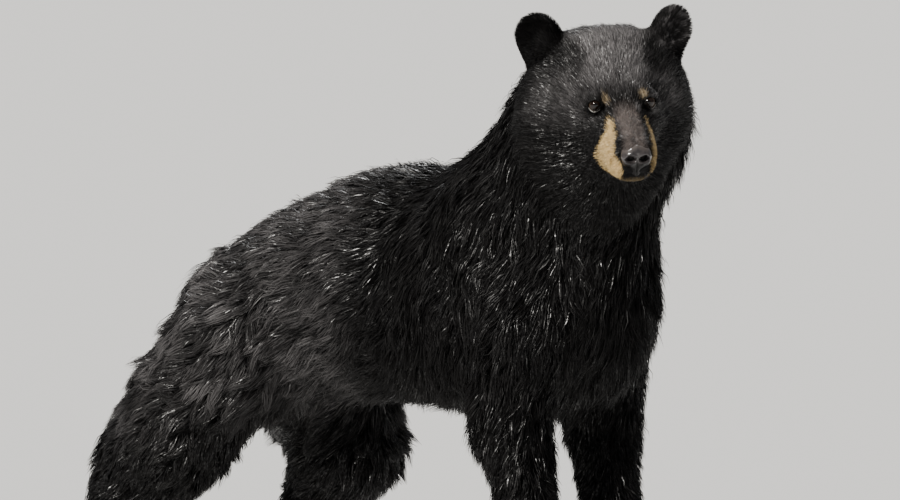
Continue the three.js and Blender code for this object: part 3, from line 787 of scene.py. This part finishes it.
def glossiness(points):
    """How wet and shiny the coat is: most on the legs and haunches, least on the withers and neck."""
    low = step(-points[:, 2], -0.46, -0.30)
    off_head = in_face(points)[:, 0] < -155
    withers = step(points[:, 0], 0.02, 0.14) * step(points[:, 2], 0.55, 0.66) * off_head
    front = step(points[:, 0], 0.06, 0.18) * off_head
    haunch = step(-points[:, 0], 0.10, 0.25)
    patches = 0.15 * ripple(points, 0.12, 13)
    return 0.55 + 0.2 * low + 0.14 * haunch * (1 - low) - 0.35 * withers - 0.14 * front + patches


def ear_streaks(points, normals):
    """How pale the front of the left ear is painted in streaks: painted sheen where it catches the light.
    """
    face = in_face(points)
    front = step(normals @ face_axes[0], 0.0, 0.4)
    streak = step(ripple(points, 0.014, 14), 0.0, 0.7)
    return (0.16 + 0.46 * streak) * step(face[:, 1], 66, 80) * step(face[:, 2], 50, 66) * front


def node_group(name, inputs, output, kind):
    """A node group with these number inputs and one output, and its sockets inside."""
    group = bpy.data.node_groups.new(name, "ShaderNodeTree")
    for socket in inputs:
        group.interface.new_socket(socket, in_out="INPUT", socket_type="NodeSocketFloat")
    group.interface.new_socket(output, in_out="OUTPUT", socket_type=kind)
    given, result = group.nodes.new("NodeGroupInput"), group.nodes.new("NodeGroupOutput")
    return group, given.outputs, result.inputs[output]


def coat_colours():
    """A node group: the coat's colour from its markings, the place along the hair and the tuft's tint."""
    group, given, result = node_group("coat_colours", ("Tan", "Bridge", "Grey_and_sheen", "Along", "Tint"),
                                      "Colour", "NodeSocketColor")
    tint, along = given["Tint"], given["Along"]
    # Black hair is darker at the root than at the tip, partly its own colour and partly painted shade deep
    # in the coat.
    tipped = mix(group, scaled(group, along, 0.55), mix(group, tint, *BLACK), BLACK_TIP)
    grey = mix(group, scaled(group, given["Grey_and_sheen"], 0.8), tipped, mix(group, along, *GREY))
    brown = mix(group, given["Bridge"], grey, mix(group, tint, *BROWN))
    group.links.new(mix(group, given["Tan"], brown, mix(group, tint, *TAN)), result)
    return group


def hair_grain():
    """A node group: the fine unevenness of single hairs, as a normal."""
    group, given, result = node_group("hair_grain", ("Scale", "Depth"), "Normal", "NodeSocketVector")
    hairs = pattern(group, "ShaderNodeTexNoise", given["Scale"])
    group.links.new(bumped(group, hairs, 0.7, given["Depth"]), result)
    return group


coat_group, grain_group = coat_colours(), hair_grain()


def placed(tree, group, inputs):
    """What a node group gives with these inputs."""
    node = tree.nodes.new("ShaderNodeGroup")
    node.node_tree = group
    fill(node, inputs)
    return node.outputs[0]


def coat_material(name, along, tint, roughness, shine=0.13):
    """A coat or hide material. Along and Tint are attributes of the mesh, or plain numbers."""
    material, tree, surface = node_tree_of(name)
    sources = {"Tan": "tan", "Bridge": "bridge", "Grey_and_sheen": "grizzle", "Along": along, "Tint": tint}
    colour = placed(tree, coat_group, {name: value_of(tree, source) if isinstance(source, str) else source
                                       for name, source in sources.items()})
    fill(surface, {"Base Color": colour, "Roughness": roughness, "Specular IOR Level": shine})
    return material, tree, surface, colour


def hide_material():
    """The bare skin, coloured as its hair is, with wet rims to the lids and a painted highlight along each
    lower lid.
    """
    material, tree, surface, colour = coat_material("hide", along=0.1, tint=0.3, roughness=0.6)
    fill(surface, {"Base Color": mix(tree, value_of(tree, "tear"), colour, LID_GLINT_COLOUR),
                   "Roughness": scaled(tree, value_of(tree, "wet"), -0.5, 0.62),
                   "Normal": placed(tree, grain_group, {"Scale": 700, "Depth": 0.0006})})
    return material


# A painted highlight lies along each lower lid, weaker on the shaded left eye, and the lids' rims are bare
# and wet.
rim_gap, tear = np.full(len(points), NO_RIM), np.zeros(len(points))
for side in SIDES:
    local = (face - eye_centres[side]) @ eye_axes(side).T
    close = np.linalg.norm(local, axis=1) < 26
    gap = opening(local[:, 1], local[:, 2])
    rim_gap = np.where(close, np.maximum(rim_gap, gap), rim_gap)
    tear += close * np.exp(-((gap + 0.7) / 0.55) ** 2) * step(-local[:, 2], 3, 6) * LID_GLINT[side]
tan, bridge, grizzle = markings(points)
set_values(skin.data, tan=tan, bridge=bridge, grizzle=np.maximum(grizzle, ear_streaks(points, normals)),
           wet=step(rim_gap, -2.2, -0.8), tear=tear)
skin.data.materials.append(hide_material())
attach(skin, "root")
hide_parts(*PARTS)


# ---------- coat ----------
# Guard hairs gather in thin pointed tufts that overlap like thatch: short and fine on the face, ears
# and feet, long and locked together on the haunches, flanks, neck and the backs of the legs.

# For each kind of part, in the order of KINDS: a tuft's length and width, tufts to the square centimetre,
# how closely a tuft follows its lock, a lock's size, and how far locks stand above or below the coat.
COAT = {"trunk": (0.044, 0.0016, 12, 0.66, 0.014, 0.6),
        "neck": (0.048, 0.0015, 13, 0.66, 0.014, 0.5),
        "tail": (0.050, 0.0016, 11, 0.5, 0.010, 0.8),
        "head": (0.020, 0.0008, 60, 0.20, 0.0035, 0.4),
        "lower_jaw": (0.006, 0.0006, 80, 0.0, 0.003, 0.0),
        "ear": (0.011, 0.0007, 80, 0.2, 0.003, 0.0),
        "upper_arm": (0.042, 0.0016, 13, 0.70, 0.014, 0.7),
        "forearm": (0.030, 0.0015, 15, 0.6, 0.010, 0.6),
        "forepaw": (0.015, 0.0010, 24, 0.3, 0.004, 0.0),
        "thigh": (0.044, 0.0017, 15, 0.80, 0.020, 1.0),
        "shank": (0.036, 0.0017, 16, 0.80, 0.018, 1.0),
        "hind_foot": (0.015, 0.0010, 24, 0.3, 0.004, 0.0)}
# The ears are discs about this place of the face, facing this way, with the shortest hair on the rim.
EAR_MIDDLE, EAR_FACING = np.array([-129, 108, 85]), np.array([0.77, 0.58, 0.26])
# By how much the tufts are shorter, finer, denser or longer than the table says, in some places.
NOSE_MIDDLE, NOSE_SHORTER, NOSE_FINER, NOSE_DENSER = (95, 0, -45), 0.74, 0.4, 0.8
RIM_SHORTER, LID_SHORTER, LID_DENSER = 0.6, 0.68, 0.8
CHEEK_LONGER, BELLY_LONGER, BEHIND_LONGER = 1.0, 0.25, 0.30
PAD_MIDDLE, PAD_RADII = (0, 0, -3), (18, 24, 28)  # the hairless ground under the nose leather
FARTHEST, LEAST_RISE, MOST_RISE = 0.06, 0.001, 0.045  # from the hide to the outline
MAP_ANGLE, MAP_MARGIN, MAP_PATCH = 66, 0.002, 0.003  # of the hide's map, and each tuft's place on it
SMALLEST_LOCK = 0.003
CELL_PRIMES = np.array([73856093, 19349663, 83492791])  # they make one number of a cell's three
LENGTHS, RIPPLED, WIDTHS = (0.70, 1.22), 0.16, (0.7, 1.25)  # how much tufts vary
FULL_SHARE, FULL_RISES, LOW_RISES = 0.75, (0.75, 1.12), (0.25, 0.9)  # most reach the outline
TURN, TILT, DROOP = 0.27, 0.60, 0.10
LOCK_HOLD, LOCK_RISES, EDGE_DROP = (0.75, 1.1), (0.72, 1.42), 0.5
STRAY, STRAY_RISE = 0.05, 1.6  # the share of tufts that stand off the coat, and how far
STATIONS = np.array([0, 0.3, 0.65, 1.0])  # along a tuft, where its blade may bend
TAPER = np.array([0.75, 1.0, 0.62, 0.0])  # the blade's share of its width there
WHOLE, SPARE = [0, 1, 2, 3], [0, 2, 3]  # the stations of long tufts, and of short ones
MOST_TRIANGLES = 195000

bpy.context.view_layer.objects.active = skin
skin.select_set(True)
bpy.ops.object.mode_set(mode="EDIT")
bpy.ops.mesh.select_all(action="SELECT")
bpy.ops.uv.smart_project(angle_limit=math.radians(MAP_ANGLE), island_margin=MAP_MARGIN)
bpy.ops.object.mode_set(mode="OBJECT")
skin.data.uv_layers[0].name = "hide_map"

length, width, crowding, locking, lock_size, shaggy = (
    by_kind(shares, column) for column in zip(*COAT.values()))
near_nose = 1 - step(np.linalg.norm(face - NOSE_MIDDLE, axis=1), 20, 150)
near_nose = headness * (1 - on_ear) * near_nose
cheek = step(-face[:, 0], 10, 90) * step(-face[:, 2], 0, 60) * headness
underside = step(-normals[:, 2], 0.3, 0.9) * on_trunk
behind = step(-normals[:, 0], 0.2, 0.8) * part_of(shares, "thigh", "shank")
off_disc = face * (1, 0, 1) + np.abs(face[:, 1:2]) * (0, 1, 0) - EAR_MIDDLE
off_disc -= (off_disc @ EAR_FACING)[:, None] * EAR_FACING
ear_rim = on_ear * step(np.linalg.norm(off_disc, axis=1), 18, 36)
length *= (1 - NOSE_SHORTER * near_nose) * (1 + CHEEK_LONGER * cheek) * (
    1 + BELLY_LONGER * underside + BEHIND_LONGER * behind)
length *= 1 - RIM_SHORTER * ear_rim
width *= 1 - NOSE_FINER * near_nose
crowding *= 1 + NOSE_DENSER * near_nose

# A tuft rises until its tip lies on the outline that the solids give.
stand = [outline.ray_cast(Vector(p), Vector(n), FARTHEST)[3] or 0 for p, n in zip(points, normals)]
stand = evened(np.clip(stand, LEAST_RISE, MOST_RISE), ends, 10)

# No hair grows on the bare rims of the lids, under the nose leather, on the lips or on the soles.
pad_middle = in_face(places(nose.data)).mean(0)
under_nose = np.linalg.norm((face - pad_middle - PAD_MIDDLE) / PAD_RADII, axis=1)
off_pad = np.maximum(step(under_nose, 0.95, 1.1), above(face, *PAD_EDGE))
hairy = step(-rim_gap, 1.2, 2.6) * off_pad * step(points[:, 2], 0.006, 0.014)
hairy *= 1 - 0.8 * lips_at(face)
by_lid = 1 - step(-rim_gap, 1.0, 13.0)
crowding *= hairy * (1 + LID_DENSER * by_lid)
length *= 1 - LID_SHORTER * by_lid

mesh = skin.data
mesh.calc_loop_triangles()
corners = read(mesh.loop_triangles, "vertices", 3, np.int32)
loops = read(mesh.loop_triangles, "loops", 3, np.int32)
map_places = read(mesh.uv_layers["hide_map"].uv, "vector", 2)[loops]
first, second, third = points[corners].transpose(1, 0, 2)
areas = np.linalg.norm(np.cross(second - first, third - first), axis=1) / 2
wanted = areas * 1e4 * crowding[corners].mean(1)  # tufts on each triangle

home = np.repeat(np.arange(len(corners)), rng.poisson(wanted))
tufts = len(home)
share = rng.random((tufts, 2))
share = np.where(share.sum(1, keepdims=True) > 1, 1 - share, share)
share = np.concatenate([1 - share.sum(1, keepdims=True), share], 1)


def at_root(values):
    """A value of the skin's vertices, read at each tuft's root."""
    values = np.asarray(values)
    if values.ndim == 1:
        return (values[corners[home]] * share).sum(1)
    return (values[corners[home]] * share[:, :, None]).sum(1)


root = at_root(points)
root_map = (map_places[home] * share[:, :, None]).sum(1)
root_head, root_lock = at_root(headness), at_root(lock_size)
up = unit(at_root(normals))
along = unit(flat_on(at_root(lie), up))
hair_length = at_root(length) * rng.uniform(*LENGTHS, tufts) * (1 + RIPPLED * ripple(root, 0.05, 11))
hair_width = at_root(width) * rng.uniform(*WIDTHS, tufts)
rise = at_root(stand) * np.where(rng.random(tufts) < FULL_SHARE, rng.uniform(*FULL_RISES, tufts),
                                 rng.uniform(*LOW_RISES, tufts))
turn = rng.normal(0, TURN, tufts) * (1 - 0.5 * root_head)
along = along * np.cos(turn)[:, None] + np.cross(up, along) * np.sin(turn)[:, None]
tight = at_root(locking) * rng.uniform(*LOCK_HOLD, tufts)
droop = DROOP * (1 - root_head)

# The first tuft in each cell of a lock's size is a leader, and every tuft follows the nearest leader.
bins = np.floor(np.log2(root_lock / SMALLEST_LOCK) * 2).astype(int)
leader = np.arange(tufts)
for size_bin in np.unique(bins):
    members = np.flatnonzero(bins == size_bin)
    size = SMALLEST_LOCK * 2 ** ((size_bin + 0.5) / 2)
    cells = np.floor(root[members] / size + rng.random(3)).astype(np.int64)
    keys = np.bitwise_xor.reduce(cells * CELL_PRIMES, axis=1)
    leads = members[np.unique(keys, return_index=True)[1]]
    tree = KDTree(len(leads))
    for i, lead in enumerate(leads):
        tree.insert(root[lead], i)
    tree.balance()
    leader[members] = leads[[tree.find(p)[1] for p in root[members]]]

# The hairs at a lock's edge lie lower than its middle, which parts the locks with dark gaps.
off_lead = np.linalg.norm(root - root[leader], axis=1) / root_lock
edge = step(off_lead, 0.25, 0.60) * at_root(1 - headness)
lock_rise = rng.uniform(*LOCK_RISES, tufts)[leader]
rise *= 1 + at_root(shaggy) * (lock_rise - 1)
rise *= np.where(rng.random(tufts) < STRAY * (1 - at_root(on_ear)), STRAY_RISE, 1.0)
rise = np.minimum(rise * (1 - EDGE_DROP * edge), 0.8 * hair_length)
lock_tint, lock_gloss = rng.random(tufts), rng.random(tufts)


def path_of(which):
    """The places of the stations along chosen tufts, before they lean to their leader."""
    t = STATIONS[None, :, None]
    run = np.sqrt(hair_length[which] ** 2 - rise[which] ** 2)[:, None, None]
    path = root[which][:, None] + t * run * along[which][:, None]
    path += (1 - (1 - t) ** 2) * rise[which][:, None, None] * up[which][:, None]
    path[:, :, 2] -= droop[which][:, None] * hair_length[which][:, None] * STATIONS[None] ** 2
    return path


# A tuft leans to its leader, more and more towards the tip, and stays clear of the floor.
own, led = path_of(np.arange(tufts)), path_of(leader)
reach = (hair_length / np.maximum(hair_length[leader], 1e-6)).clip(0.6, 1.2)
led_tip = led[:, :1] + (led - led[:, :1]) * reach[:, None, None]
pull = tight[:, None] * STATIONS[None] ** 1.3
paths = own + (led_tip - own) * pull[:, :, None]
paths[:, :, 2] = np.maximum(paths[:, :, 2], 0.002)

# A tuft is a thin tapering blade, turned a little about its own line.
heading = unit(np.gradient(paths, axis=1))
tilt = rng.normal(0, TILT, tufts)
across = unit(np.cross(heading, up[:, None]))
lifted = unit(np.cross(across, heading))
across = across * np.cos(tilt)[:, None, None] + lifted * np.sin(tilt)[:, None, None]
half = across * (hair_width[:, None] * TAPER[None] / 2)[:, :, None]

# What the fur's colours and gloss are read from: each tuft's markings, lock, edge and own tint.
marked_at = paths[:, 2] + 0.0016 * rng.normal(size=root.shape)
tuft_tan, tuft_bridge, tuft_grizzle = markings(marked_at)
tuft_grizzle = np.maximum(tuft_grizzle, ear_streaks(paths[:, 2], up))
lock_light = 0.45 + 1.25 * lock_tint[leader] ** 1.3
gloss = glossiness(root) + 0.18 * rng.normal(size=tufts) + 0.5 * (lock_gloss[leader] - 0.5)
gloss -= 0.04 * root_head + 0.3 * edge
tint = lock_tint[leader] + (0.6 - 0.4 * root_head) * (rng.random(tufts) - lock_tint[leader])
# Tufts at a lock's edge get a darker colour: painted shade in the gaps between the locks.
tuft_values = {"tan": tuft_tan, "bridge": tuft_bridge, "gloss": np.clip(gloss, 0, 1),
               "grizzle": tuft_grizzle * (1 - 0.8 * edge) * lock_light, "tint": tint * (1 - 0.6 * edge)}


def fur_material():
    """Black fur, wet in specks where the coat is glossy."""
    material, tree, surface, _ = coat_material("fur", "along", "tint", 0.36)
    gloss = value_of(tree, "gloss")
    specks = scaled(tree, pattern(tree, "ShaderNodeTexNoise", 230), 8.0, -3.7)
    wet = sum_of(tree, "MULTIPLY", specks, scaled(tree, gloss, 2.2, -0.80))
    fill(surface, {"Roughness": scaled(tree, gloss, -0.28, 0.56), "Coat Weight": wet,
                   "Coat Roughness": 0.30,
                   "Normal": placed(tree, grain_group, {"Scale": 420, "Depth": 0.0007})})
    return material


fur = fur_material()
ear_fur = coat_material("ear_fur", "along", tint=0.1, roughness=0.55, shine=0.05)[0]


def blades(name, chosen, kinds, kept, material):
    """One joined mesh of the chosen tufts, bent at the kept stations."""
    line, side = paths[chosen][:, kept], half[chosen][:, kept]
    n, k = len(chosen), len(kept)
    corner = np.stack([line[:, :-1] - side[:, :-1], line[:, :-1] + side[:, :-1]], 2).reshape(n, -1, 3)
    corner = np.concatenate([corner, line[:, -1:]], 1)
    per = corner.shape[1]
    quads = np.array([[2 * i, 2 * i + 1, 2 * i + 3, 2 * i + 2] for i in range(k - 2)])
    tip = np.array([2 * (k - 2), 2 * (k - 2) + 1, 2 * (k - 1)])
    first = (np.arange(n) * per)[:, None]
    loop_corners = np.concatenate([first + quads.ravel()[None], first + tip[None]], 1).ravel()
    sizes = np.tile([4] * (k - 2) + [3], n)
    mesh = bpy.data.meshes.new(name)
    mesh.vertices.add(n * per)
    mesh.vertices.foreach_set("co", corner.astype(np.float32).ravel())
    mesh.loops.add(len(loop_corners))
    mesh.loops.foreach_set("vertex_index", loop_corners.astype(np.int32))
    mesh.polygons.add(len(sizes))
    mesh.polygons.foreach_set("loop_start", np.concatenate([[0], np.cumsum(sizes)[:-1]]).astype(np.int32))
    mesh.update(calc_edges=True)
    t = np.concatenate([np.repeat(STATIONS[kept[:-1]], 2), [1.0]])
    across_t = np.concatenate([np.tile([0.0, 1.0], k - 1), [0.5]])
    patch = np.stack([across_t - 0.5, t - 0.5], 1) * MAP_PATCH
    place = root_map[chosen][:, None] + patch[None]
    layer = mesh.uv_layers.new(name="OFBake")
    layer.uv.foreach_set("vector", place.reshape(-1, 2)[loop_corners].astype(np.float32).ravel())
    set_values(mesh, along=np.tile(t, n),
               **{name: np.repeat(values[chosen], per) for name, values in tuft_values.items()})
    mesh.shade_smooth()
    mesh.materials.append(material)
    piece = bpy.data.objects.new(name, mesh)
    scene.collection.objects.link(piece)
    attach(piece, "root")
    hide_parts(*[part for part, kind in zip(PARTS, KIND_OF) if KINDS[kind] in kinds])


PIECES = {"coat_face": (("head", "lower_jaw"), SPARE, fur),
          "coat_ears": (("ear",), SPARE, ear_fur),
          "coat_neck": (("neck",), WHOLE, fur),
          "coat_trunk": (("trunk", "tail"), WHOLE, fur),
          "coat_shoulders": (("upper_arm",), WHOLE, fur),
          "coat_forelegs": (("forearm",), WHOLE, fur),
          "coat_paws": (("forepaw", "hind_foot"), SPARE, fur),
          "coat_haunches": (("thigh",), WHOLE, fur),
          "coat_hindlegs": (("shank",), WHOLE, fur)}
home_kind = at_root(shares).argmax(1)
for name, (kinds, kept, material) in PIECES.items():
    members = np.flatnonzero(np.isin(home_kind, [KINDS.index(kind) for kind in kinds]))
    pieces = math.ceil(len(members) * (2 * len(kept) - 3) / MOST_TRIANGLES)
    if pieces > 1:
        members = members[np.argsort(root[members, 1])]
    for i, chosen in enumerate(np.array_split(members, pieces)):
        blades(name if pieces == 1 else f"{name}_{i + 1}", chosen, kinds, kept, material)
